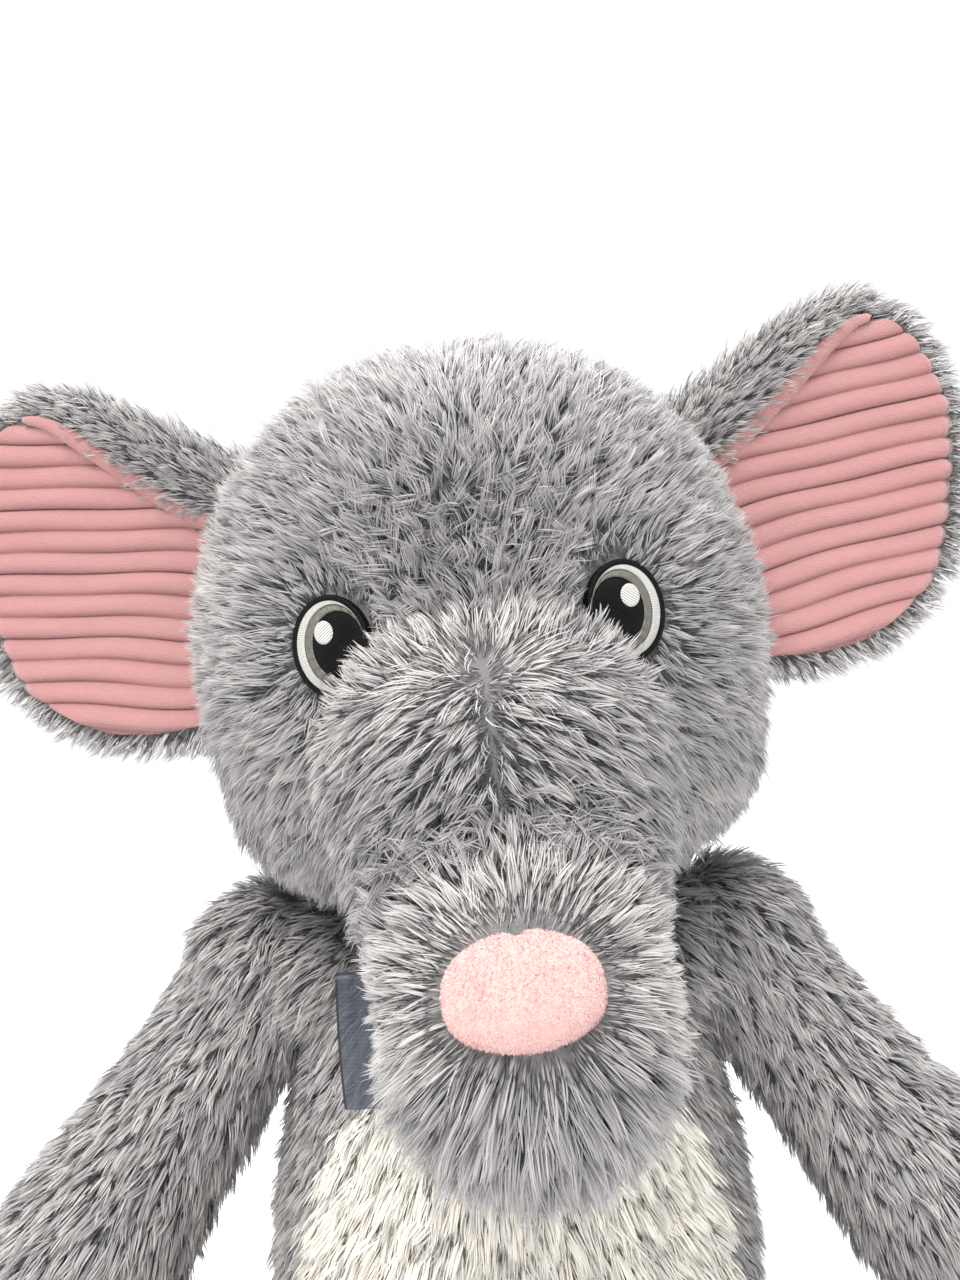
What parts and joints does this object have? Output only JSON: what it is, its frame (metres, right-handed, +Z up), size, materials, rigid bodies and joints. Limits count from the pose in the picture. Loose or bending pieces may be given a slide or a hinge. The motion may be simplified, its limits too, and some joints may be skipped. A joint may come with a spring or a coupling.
{
  "type": "stuffed elephant",
  "caption": "Sitting stuffed elephant with shaggy grey pile, cream belly, pink ribbed ears, stitched eyes and a sheer neck bow.",
  "frame": {"origin": "centre of the seat's flat underside, on the surface that the toy sits on", "axes": "+Z up from the seat to the head, -Y out of the face, +X to the toy's own left"},
  "size_m": [0.5235, 0.4154, 0.6059],
  "materials": {
    "grey_plush": "long shaggy polyester pile, dull with a soft sheen along the hairs",
    "cream_plush": "long shaggy polyester pile, dull",
    "pink_ribbed_plush": "short velvety pile in wide raised ribs",
    "pink_short_plush": "short velvety pile",
    "black_thread": "glossy satin stitch",
    "white_thread": "glossy satin stitch",
    "olive_grey_thread": "glossy satin stitch",
    "slate_ribbon": "sheer organza with woven satin edges",
    "label_satin": "woven satin",
    "fibre_filling": "loose polyester fibre",
    "pellets": "smooth small beads in a cloth bag"
  },
  "bodies": {
    "torso": {"belly_panel": "cream_plush", "torso_panel_left": "grey_plush", "torso_panel_right": "grey_plush", "seat_panel": "grey_plush", "torso_filling": "fibre_filling", "pellet_bag": "pellets", "care_label": "label_satin", "ribbon_band": "slate_ribbon", "ribbon_knot": "slate_ribbon", "ribbon_loop_left": "slate_ribbon", "ribbon_loop_right": "slate_ribbon", "ribbon_tail_left": "slate_ribbon", "ribbon_tail_right": "slate_ribbon"},
    "neck": {"neck_cover": "grey_plush"},
    "neck_core": {"neck_filling": "fibre_filling"},
    "head": {"face_panel_left": "grey_plush", "face_panel_right": "grey_plush", "head_back_panel_left": "grey_plush", "head_back_panel_right": "grey_plush", "head_filling": "fibre_filling", "eye_patch_left": "black_thread", "eye_patch_right": "black_thread", "eye_pale_rim_left": "white_thread", "eye_pale_rim_right": "white_thread", "eye_grey_ring_left": "olive_grey_thread", "eye_grey_ring_right": "olive_grey_thread", "eye_pupil_left": "black_thread", "eye_pupil_right": "black_thread", "eye_bright_spot_left": "white_thread", "eye_bright_spot_right": "white_thread"},
    "trunk": {"trunk_cover_left": "grey_plush", "trunk_cover_right": "grey_plush", "trunk_filling": "fibre_filling"},
    "trunk_tip": {"trunk_tip_cover_left": "grey_plush", "trunk_tip_cover_right": "grey_plush", "trunk_tip_filling": "fibre_filling", "nose_pad": "pink_short_plush"},
    "ear_left": {"ear_lining_left": "pink_ribbed_plush", "ear_wadding_left": "fibre_filling", "ear_back_left": "grey_plush"},
    "ear_right": {"ear_lining_right": "pink_ribbed_plush", "ear_wadding_right": "fibre_filling", "ear_back_right": "grey_plush"},
    "arm_left": {"arm_cover_left": "grey_plush", "arm_filling_left": "fibre_filling"},
    "arm_right": {"arm_cover_right": "grey_plush", "arm_filling_right": "fibre_filling"},
    "leg_left": {"leg_cover_left": "grey_plush", "sole_left": "pink_short_plush", "leg_filling_left": "fibre_filling"},
    "leg_right": {"leg_cover_right": "grey_plush", "sole_right": "pink_short_plush", "leg_filling_right": "fibre_filling"},
    "tail": {"tail_cover": "grey_plush", "tail_tuft": "grey_plush"}
  },
  "joints": [
    {"name": "neck_turn", "type": "hinge", "parent": "torso", "child": "neck", "pos_m": [0, -0.01, 0.306], "axis": [0, 0, 1], "range_deg": [-20, 20]},
    {"name": "neck_lean", "type": "hinge", "parent": "neck", "child": "neck_core", "pos_m": [0, -0.01, 0.306], "axis": [0, 1, 0], "range_deg": [-10, 10]},
    {"name": "neck_nod", "type": "hinge", "parent": "neck_core", "child": "head", "pos_m": [0, -0.01, 0.306], "axis": [1, 0, 0], "range_deg": [-12, 4]},
    {"name": "trunk_lift", "type": "hinge", "parent": "head", "child": "trunk", "pos_m": [0.00208, -0.094, 0.39806], "axis": [-0.9981, 0, -0.061], "range_deg": [-5, 25]},
    {"name": "trunk_curl", "type": "hinge", "parent": "trunk", "child": "trunk_tip", "pos_m": [0.00572, -0.13426, 0.33848], "axis": [-0.9981, 0, -0.061], "range_deg": [-12, 8]},
    {"name": "ear_flap_left", "type": "hinge", "parent": "head", "child": "ear_left", "pos_m": [0.12059, -0.00935, 0.48298], "axis": [0.3723, 0, -0.9281], "range_deg": [-25, 25]},
    {"name": "ear_flap_right", "type": "hinge", "parent": "head", "child": "ear_right", "pos_m": [-0.12591, -0.00935, 0.4679], "axis": [0.2564, 0, 0.9666], "range_deg": [-25, 25]},
    {"name": "arm_swing_left", "type": "hinge", "parent": "torso", "child": "arm_left", "pos_m": [0.121, -0.007, 0.266], "axis": [-1, 0, 0], "range_deg": [-20, 45]},
    {"name": "arm_swing_right", "type": "hinge", "parent": "torso", "child": "arm_right", "pos_m": [-0.121, -0.007, 0.266], "axis": [-1, 0, 0], "range_deg": [-20, 45]},
    {"name": "leg_lift_left", "type": "hinge", "parent": "torso", "child": "leg_left", "pos_m": [0.084, -0.067, 0.058], "axis": [-1, 0, 0], "range_deg": [0, 30]},
    {"name": "leg_lift_right", "type": "hinge", "parent": "torso", "child": "leg_right", "pos_m": [-0.084, -0.067, 0.058], "axis": [-1, 0, 0], "range_deg": [0, 30]},
    {"name": "tail_wag", "type": "hinge", "parent": "torso", "child": "tail", "pos_m": [0, 0.113, 0.066], "axis": [0, 0.6606, 0.7507], "range_deg": [-35, 35]}
  ]
}
